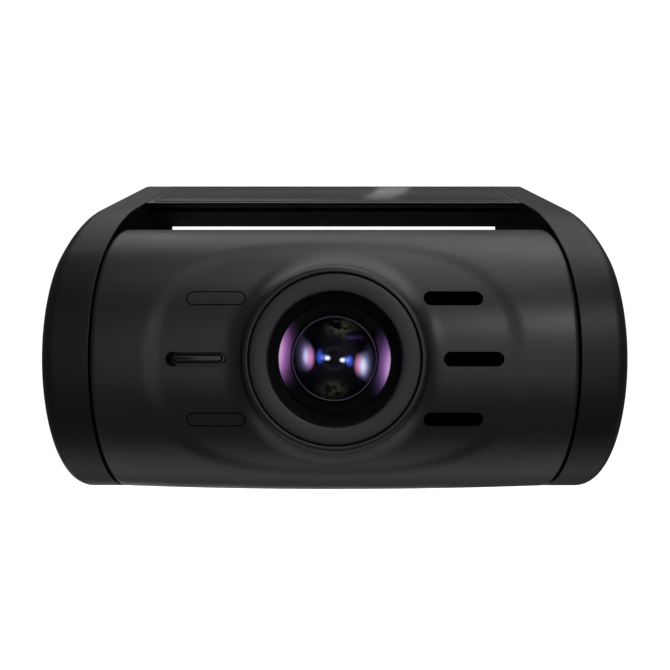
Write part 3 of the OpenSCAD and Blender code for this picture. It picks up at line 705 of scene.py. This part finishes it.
def turned(steps, vertices=128, x=0.0, z=0.0, start=0.0):
    """A piece turned about a line along Y from steps of radius and y, y measured from start.

    It closes on itself or is capped at its ends.
    """
    let_go()
    radius, y = steps[0]
    bpy.ops.mesh.primitive_circle_add(
        vertices=vertices, radius=max(radius, 0.02) * MM, location=at(x, start + y, z),
        rotation=(math.radians(90), 0, 0))
    piece = settle(bpy.context.object)
    bpy.ops.object.mode_set(mode="EDIT")
    bpy.ops.mesh.select_all(action="SELECT")
    for radius, y in steps[1:]:
        bpy.ops.mesh.extrude_region_move()
        mesh = bmesh.from_edit_mesh(piece.data)
        for vertex in mesh.verts:
            if vertex.select:
                point = (vertex.co - PIVOT) / MM
                angle = math.atan2(point.z - z, point.x - x)
                reach = max(radius, 0.02)
                vertex.co = at(x + reach * math.cos(angle), start + y,
                               z + reach * math.sin(angle))
        bmesh.update_edit_mesh(piece.data)
    bpy.ops.mesh.select_all(action="SELECT")
    bpy.ops.mesh.remove_doubles(threshold=0.001 * MM)
    bpy.ops.mesh.select_all(action="DESELECT")
    bpy.ops.mesh.select_non_manifold(extend=False)
    if any(v.select for v in bmesh.from_edit_mesh(piece.data).verts):
        bpy.ops.mesh.fill_holes(sides=0)
    bpy.ops.mesh.select_all(action="SELECT")
    bpy.ops.mesh.normals_make_consistent(inside=False)
    let_go()
    return piece


# The same black as the shell and a touch less shiny, so that only its edges catch the light.
bezel_abs = moulded("satin_bezel_abs", "#171718", "#1b1b1c", 0.4)
bezel = turned([(10.1, 1.55), (10.1, 0.3), (10.18, 0.1), (10.35, 0.02), (12.5, 0), (12.68, 0.06),
                (12.75, 0.22), (12.75, 1.55), (10.1, 1.55)], 160, start=COLLAR_Y)
finish(bezel, "lens_bezel_ring", bezel_abs, "bezel_plastic", "barrel", "lens_bezel")

# Matt black that swallows light round the glass.
shroud_abs = moulded("matt_shroud_abs", "#060606", "#080808", 0.8, specular=0.15)
shroud = turned([(10.1, 1.62), (11.5, 1.62), (11.5, 9), (8.85, 9), (8.85, 4.1), (9.1, 3.6),
                 (9.75, 2.3), (10.1, 1.62)], 160, start=COLLAR_Y)
finish(shroud, "lens_shroud_funnel", shroud_abs, "black_abs", "barrel", "lens_shroud")

GLASS_Y = COLLAR_Y + 4.3
GLASS_R, GLASS_EDGE, GLASS_T = 13, 8.75, 0.7


def dome(radius, edge, rim_y):
    """Points of a bulging glass face from its middle to its edge."""
    sag = radius - math.sqrt(radius ** 2 - edge ** 2)
    points = []
    for i in range(15):
        r = edge * i / 14
        points.append((r, rim_y - sag + radius - math.sqrt(radius ** 2 - r * r)))
    return points


# Clear glass that hardly shows itself: a low index stands for the anti-reflection coating.
glass, tree, shader, place = new_material("coated_optical_glass")
shader.inputs["Base Color"].default_value = colour("#ffffff")
shader.inputs["Transmission Weight"].default_value = 1.0
shader.inputs["IOR"].default_value = 1.08
shader.inputs["Specular Tint"].default_value = colour("#b48cff")
shader.inputs["Specular IOR Level"].default_value = 0.03
dust = add(tree, "ShaderNodeTexNoise", {"Vector": place, "Scale": 1 / (0.6 * MM), "Detail": 4.0})
film = add(tree, "ShaderNodeMapRange", {"Value": dust.outputs["Fac"], "From Min": 0.55,
                                        "From Max": 0.8, "To Min": 0.0, "To Max": 0.05})
tree.links.new(film.outputs["Result"], shader.inputs["Roughness"])

front_face = dome(GLASS_R, GLASS_EDGE, GLASS_Y)
back_face = [(r, y + GLASS_T) for r, y in front_face]
front = turned(front_face + back_face[::-1])
finish(front, "front_lens_glass", glass, "coated_glass", "barrel", "front_glass")


def spot(tree, place, x, z, wide, tall):
    """A soft round patch on the lens, strongest in its middle."""
    shift = add(tree, "ShaderNodeVectorMath", {0: place, 1: at(x, 0, z)}, operation="SUBTRACT")
    size = add(tree, "ShaderNodeVectorMath",
               {0: shift.outputs[0], 1: (wide * MM, 1000, tall * MM)}, operation="DIVIDE")
    far = add(tree, "ShaderNodeVectorMath", {0: size.outputs[0]}, operation="LENGTH")
    return add(tree, "ShaderNodeMapRange", {"Value": far.outputs["Value"], "From Min": 1.0,
                                            "From Max": 0.0, "To Min": 0.0, "To Max": 1.0},
               interpolation_type="SMOOTHSTEP").outputs["Result"]


def layer(tree, below, mask, tone):
    """Lays one colour over another where a mask says."""
    return add(tree, "ShaderNodeMix", {"Factor": mask, "A": below, "B": colour(tone)},
               data_type="RGBA").outputs["Result"]


# Dead black anodising, with painted reflections at each side: violet, pink and white patches
# that stand for the coated glass's reflections.
anodised_painted_reflections, tree, shader, place = new_material("black_anodised_barrel_painted_reflections")
tone = add(tree, "ShaderNodeRGB").outputs[0]
tone.default_value = colour("#020202")
# Three painted reflections at each side, from violet out to near white.
for x, z, wide, tall, code in ((-8.6, 1.6, 3.4, 8.4, "#6a4478"), (-9.0, 1.9, 2.5, 7.6, "#d48ae0"),
                               (-9.3, 1.7, 1.8, 6.2, "#ffe0ff"), (8.6, -1.6, 3.4, 8.4, "#5f4480"),
                               (9.0, -2.0, 2.4, 7.4, "#cc8ce8"), (9.2, -2.6, 1.8, 6.0, "#ffe0ff")):
    tone = layer(tree, tone, spot(tree, place, x, z, wide, tall), code)
tree.links.new(tone, shader.inputs["Base Color"])
turning = add(tree, "ShaderNodeTexNoise", {"Vector": place, "Scale": 1 / (0.3 * MM)})
rough = add(tree, "ShaderNodeMapRange", {"Value": turning.outputs["Fac"], "To Min": 0.7,
                                         "To Max": 0.9})
tree.links.new(rough.outputs["Result"], shader.inputs["Roughness"])
shader.inputs["Specular IOR Level"].default_value = 0.05
lens_tube = turned([(6.92, 3.4), (6.92, 1.9), (7.0, 1.75), (8.68, 1.1), (8.72, 1.3), (8.65, 4.8),
                    (6.0, 4.8), (6.0, 15.6), (5.0, 15.6), (5.0, 5.2), (6.92, 5.0), (6.92, 3.4)],
                   start=GLASS_Y)
finish(lens_tube, "lens_tube_and_ring", anodised_painted_reflections, "black_aluminium", "barrel", "lens_barrel")

# Nearly black, with painted reflections of the coatings: pink, blue and white ghosts and glints,
# and faint olive patches at top and bottom; a thin grey ring and a black spot sit in the middle,
# and a painted lavender highlight runs round the rim.
second_glass_painted_reflections, tree, shader, place = new_material("coated_second_glass_painted_reflections")
tone = add(tree, "ShaderNodeRGB").outputs[0]
tone.default_value = colour("#020203")
# Noise that breaks the painted olive reflections up into patches.
reflection_breakup_noise = add(tree, "ShaderNodeTexNoise", {"Vector": place, "Scale": 1 / (0.9 * MM), "Detail": 3.0})
reflection_breakup_mask = add(tree, "ShaderNodeMapRange", {"Value": reflection_breakup_noise.outputs["Fac"], "From Min": 0.42,
                                          "From Max": 0.5}).outputs["Result"]
for x, z, wide, tall, code, broken in (
        (0.9, 4.9, 3.6, 2.2, "#3e3e34", True), (-0.4, -4.8, 3.4, 2.0, "#3a3a30", True),
        (-5.3, 1.0, 1.3, 4.2, "#44405a", False), (5.4, -1.0, 1.3, 4.2, "#44405a", False),
        (-4.4, 0.4, 1.3, 2.9, "#9890d0", False), (-3.9, 0.2, 1.0, 2.2, "#e08cc8", False),
        (-4.5, 0.4, 0.7, 1.7, "#dfe0ff", False), (3.9, -1.0, 1.1, 2.2, "#e08cc0", False),
        (4.6, -1.1, 1.3, 2.6, "#a8b4f0", False), (4.5, -1.2, 0.8, 1.8, "#f8f4ff", False),
        (-2.3, 0.3, 0.8, 1.5, "#3450c8", False), (2.3, -0.3, 0.8, 1.2, "#3858d0", False),
        (-1.5, 0.2, 1.0, 0.6, "#7c9cf8", False), (1.6, -0.2, 1.0, 0.6, "#86a4ff", False),
        (-1.1, 0.1, 0.6, 0.5, "#ffffff", False), (1.2, -0.2, 0.6, 0.5, "#ffffff", False),
        (0, 0, 0.75, 1.0, "#020204", False)):
    mask = spot(tree, place, x, z, wide, tall)
    if broken:
        mask = add(tree, "ShaderNodeMath", {0: mask, 1: reflection_breakup_mask}, operation="MULTIPLY").outputs[0]
    tone = layer(tree, tone, mask, code)
# Two thin rings: a grey one near the middle and the painted lavender highlight at the rim.
for reach, width, code in ((1.75, 0.06, "#2a2c34"), (6.66, 0.09, "#6c667c")):
    shift = add(tree, "ShaderNodeVectorMath", {0: place, 1: PIVOT}, operation="SUBTRACT")
    flat = add(tree, "ShaderNodeVectorMath", {0: shift.outputs[0], 1: (1000, 0, 1000)},
               operation="MULTIPLY")
    far = add(tree, "ShaderNodeVectorMath", {0: flat.outputs[0]}, operation="LENGTH")
    ring = add(tree, "ShaderNodeMapRange",
               {"Value": add(tree, "ShaderNodeMath", {0: far.outputs["Value"], 1: reach, 2: width},
                             operation="COMPARE").outputs[0]})
    tone = layer(tree, tone, ring.outputs["Result"], code)
tree.links.new(tone, shader.inputs["Base Color"])
shader.inputs["Roughness"].default_value = 0.3
shader.inputs["Specular IOR Level"].default_value = 0.02
second = turned(dome(9.5, 6.85, GLASS_Y + 4.1) + [(6.85, GLASS_Y + 4.8), (0, GLASS_Y + 4.8)])
finish(second, "second_lens_glass", second_glass_painted_reflections, "coated_glass", "barrel", "inner_glass")

# ---- Light window -------------------------------------------------------------------------
# A smoked acrylic light guide behind the left middle slot, with a bevelled bar that stands
# just short of the surface.
# Dark and glossy, so that the bar's bevels catch the light inside the slot.
smoked = moulded("smoked_acrylic", "#101012", "#151517", 0.16, grain=0.8, relief=0.002)
low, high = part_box("light_window")
low, high = (low - PIVOT) / MM, (high - PIVOT) / MM
BAR_X, BAR_Z = -(SLOT_X + SLOT_OUT), 0.1
BAR_DEPTH, STEP_BACK = 2.2, 0.7
bar = pill(BAR_X, BAR_Z, 7.8, 1.3, low.y, low.y + BAR_DEPTH)
soften(bar, lambda p: p.y < low.y + 0.01, 0.35, 3)
step = pill(BAR_X, BAR_Z, 8.6, 1.75, low.y + STEP_BACK, low.y + BAR_DEPTH)
soften(step, lambda p: p.y < low.y + STEP_BACK + 0.01, 0.12, 2)
flange = block(low.x, high.x, high.y - 0.8, high.y, low.z, high.z)
carve(bar, [step], "UNION")
carve(bar, [flange], "UNION")
finish(bar, "light_guide", smoked, "light_pipe", "barrel", "light_window")

# ---- Screen window and buttons ------------------------------------------------------------
# A polished acrylic window, painted black behind around the picture area, lies flush in the
# back. Four round ABS keys with dished tops stand 0.5 mm proud in a column beside it.
# Polished and almost black, with the sleeping screen a shade lighter and faint wipe marks.
acrylic, tree, shader, place = new_material("back_painted_acrylic")
middle = add(tree, "ShaderNodeVectorMath", {0: place, 1: at(SCREEN_X, 0, 0)}, operation="SUBTRACT")
PICTURE_W, PICTURE_H = 42, 22
scaled = add(tree, "ShaderNodeVectorMath",
             {0: middle.outputs[0], 1: (2 / (PICTURE_W * MM), 0, 2 / (PICTURE_H * MM))},
             operation="MULTIPLY")
sides = add(tree, "ShaderNodeSeparateXYZ",
            {0: add(tree, "ShaderNodeVectorMath", {0: scaled.outputs[0]},
                    operation="ABSOLUTE").outputs[0]})
far = add(tree, "ShaderNodeMath", {0: sides.outputs["X"], 1: sides.outputs["Z"]},
          operation="MAXIMUM")
frame_mask = add(tree, "ShaderNodeMapRange", {"Value": far.outputs[0], "From Min": 0.985,
                                              "From Max": 1.0}).outputs["Result"]
picture = add(tree, "ShaderNodeRGB").outputs[0]
picture.default_value = colour("#15171b")
tree.links.new(layer(tree, picture, frame_mask, "#050506"), shader.inputs["Base Color"])
smudge = add(tree, "ShaderNodeTexNoise", {"Vector": place, "Scale": 1 / (6 * MM), "Detail": 5.0})
wipe = add(tree, "ShaderNodeMapRange", {"Value": smudge.outputs["Fac"], "From Min": 0.4,
                                        "From Max": 0.8, "To Min": 0.04, "To Max": 0.16})
tree.links.new(wipe.outputs["Result"], shader.inputs["Roughness"])
shader.inputs["IOR"].default_value = 1.49
window = block(SCREEN_X - SCREEN_W / 2, SCREEN_X + SCREEN_W / 2, BACK_Y - SCREEN_T, BACK_Y,
               -SCREEN_H / 2, SCREEN_H / 2)
soften(window, lambda p: p.y > BACK_Y - 0.01, 0.25, 3)
finish(window, "screen_window_pane", acrylic, "window_acrylic", "barrel", "screen_window")

# A dark grey a little lighter than the shell, so that the keys can be found.
key_abs = moulded("moulded_key_abs", "#262628", "#2c2c2e", 0.45)
for name in button_names:
    low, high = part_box(name)
    low, high = (low - PIVOT) / MM, (high - PIVOT) / MM
    z = (low.z + high.z) / 2
    key = turned([(0, high.y - 0.22), (0.8, high.y - 0.2), (1.5, high.y - 0.1), (1.95, high.y),
                  (2.12, high.y - 0.02), (2.25, high.y - 0.12), (2.3, high.y - 0.3),
                  (2.3, low.y + 0.8), (2.8, low.y + 0.8), (2.8, low.y), (0, low.y)],
                 64, x=(low.x + high.x) / 2, z=z)
    finish(key, name.replace("button", "key"), key_abs, "button_plastic", name, name)

# ---- Side caps ----------------------------------------------------------------------------
# Thin round ABS covers pressed over the hinge screws, slightly dished, with a soft edge.
# A little lighter and smoother than the arm round it, so that the cap can be told from it.
cap_abs = moulded("moulded_cap_abs", "#121213", "#161617", 0.34)
for name, side in (("side_cap_left", -1), ("side_cap_right", 1)):
    cap = turned([(0, -1.3), (9, -1.3), (12.2, -1.36), (12.9, -1.5), (13.35, -1.42),
                  (13.55, -1.2), (CAP_R, -1.0), (CAP_R, 0), (0, 0)])
    turn = Matrix.Rotation(math.radians(90 * side), 4, "Z")
    home = Matrix.Translation(PIVOT)
    out = Matrix.Translation(Vector((side * (ARM_OUT - 1.5) * MM, 0, 0)))
    cap.matrix_world = out @ home @ turn @ home.inverted()
    finish(settle(cap), name + "_cover", cap_abs, "yoke_plastic", "yoke", name)

# ---- Hardware and electronics -------------------------------------------------------------
# What the covers hide: nickel-plated steel screws and washers, turned brass nuts, acetal
# bushes, green boards, black epoxy parts, the foil battery, the card and the sockets.


def metal(name, code, roughness, stretch):
    """Worked metal with fine marks running round or along it."""
    paint, tree, shader, place = new_material(name)
    marks = add(tree, "ShaderNodeMapping", {"Vector": place, "Scale": stretch})
    grain = add(tree, "ShaderNodeTexNoise", {"Vector": marks.outputs[0], "Scale": 1 / (0.5 * MM),
                                             "Detail": 4.0})
    tone = add(tree, "ShaderNodeMix", {"Factor": grain.outputs["Fac"], "A": colour(code),
                                       "B": [c * 0.8 for c in colour(code)[:3]] + [1]},
               data_type="RGBA")
    tree.links.new(tone.outputs["Result"], shader.inputs["Base Color"])
    rough = add(tree, "ShaderNodeMapRange", {"Value": grain.outputs["Fac"],
                                             "To Min": roughness - 0.08, "To Max": roughness + 0.1})
    tree.links.new(rough.outputs["Result"], shader.inputs["Roughness"])
    shader.inputs["Metallic"].default_value = 1.0
    return paint


# Each hidden part in its own plain metal or plastic colour.
finishes = {
    "steel": metal("nickel_plated_steel", "#b9bbbf", 0.28, (6, 1, 1)),
    "brass": metal("turned_brass", "#c9a35c", 0.3, (8, 1, 1)),
    "bare_aluminium": metal("rolled_aluminium", "#c8cacd", 0.35, (1, 1, 6)),
    "battery_foil": metal("laminated_battery_foil", "#a9abb0", 0.4, (1, 1, 1)),
    "acetal": moulded("natural_acetal", "#dedbd0", "#e6e3d8", 0.3),
    "board": moulded("green_solder_mask", "#0c4a2a", "#0f5631", 0.35, grain=0.6),
    "chip": moulded("moulded_epoxy", "#161618", "#1b1b1d", 0.6),
    "cable_film": moulded("polyimide_film", "#b98a3c", "#c39447", 0.35),
    "card_plastic": moulded("memory_card_plastic", "#111113", "#161618", 0.4),
    "lcd": moulded("display_panel", "#0f1114", "#14161a", 0.2),
    "mesh_fabric": moulded("woven_acoustic_cloth", "#020202", "#040404", 0.95, grain=0.3,
                           specular=0.0),
    "led_body": moulded("led_epoxy", "#d8d6c4", "#e2e0cf", 0.3),
    "coated_glass": glass,
    "filter_glass": glass,
    "black_abs": shroud_abs,
}
for part in frame["record"]["subparts"]:
    node, slot = part["node"], part["material_slot"]
    paint = finishes.get(slot)
    thing = frame["nodes"].get(node)
    if paint and thing is not None:
        thing.data.materials.clear()
        thing.data.materials.append(paint)

# ---- Studio -------------------------------------------------------------------------------
# A pale closed dome with a flat floor, which the camera sees and the plastic does not reflect.
# Seven soft lights shape the object: two above, a strip that draws the band along the barrel, one
# low, one in front, one behind and a narrow one for the plate.
# The camera looks level along +Y from 129 mm in front of the tilt axis.
camera_data = bpy.data.cameras.new("camera")
camera_data.lens = 37.86
camera_data.sensor_width = 36.0
camera_data.shift_x = 0.0048
camera_data.shift_y = 0.0206
camera_data.clip_start = 0.005
camera = bpy.data.objects.new("camera", camera_data)
bpy.context.scene.collection.objects.link(camera)
camera.location = at(-0.451, -129.412, 1.556)
camera.rotation_euler = (math.radians(90), 0, 0)
bpy.context.scene.camera = camera

# Matt off-white that glows evenly, as a lit paper background does.
white, tree, shader, place = new_material("off_white_studio_paper")
shader.inputs["Base Color"].default_value = colour("#f4f4f4")
shader.inputs["Roughness"].default_value = 0.9
shader.inputs["Emission Color"].default_value = (1, 1, 1, 1)
shader.inputs["Emission Strength"].default_value = 0.95
FLOOR_Z = cad_low[2] - 0.16
DOME_R = 4.0
let_go()
bpy.ops.mesh.primitive_uv_sphere_add(segments=64, ring_count=32, radius=DOME_R)
room = bpy.context.object
for vertex in room.data.vertices:
    vertex.co.z = max(vertex.co.z, FLOOR_Z)
room.data.flip_normals()
take(room)
bpy.ops.object.shade_smooth()
room.data.materials.append(white)
room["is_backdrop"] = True
room.visible_diffuse = False
room.visible_glossy = False

world = bpy.data.worlds.new("studio")
bpy.context.scene.world = world
world.use_nodes = True
world.node_tree.nodes["Background"].inputs[0].default_value = (0.12, 0.12, 0.12, 1)
bpy.context.scene.view_settings.view_transform = "Standard"


def lamp(name, x, y, z, wide, tall, power):
    """A soft rectangular light aimed at the barrel."""
    data = bpy.data.lights.new(name, "AREA")
    data.shape = "RECTANGLE"
    data.size, data.size_y = wide, tall
    data.energy = power
    thing = bpy.data.objects.new(name, data)
    bpy.context.scene.collection.objects.link(thing)
    thing.location = at(x, y, z)
    thing.rotation_euler = (at(0, 0, 0) - thing.location).to_track_quat("-Z", "Y").to_euler()
    thing.visible_camera = False


lamp("back_top_light", 100, 330, 690, 1.1, 0.5, 1.45)
lamp("top_light", 160, -120, 750, 0.8, 0.5, 1.5)
lamp("band_light", 380, -680, 440, 0.42, 0.12, 1.3)
lamp("front_fill", 150, -900, 60, 0.9, 0.9, 1.8)
lamp("low_fill", 0, 150, -700, 1.2, 0.5, 0.8)
lamp("rear_fill", -250, 900, -160, 0.9, 0.7, 2.2)
lamp("plate_strip", 95, 885, 460, 0.05, 0.45, 0.022)

low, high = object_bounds()
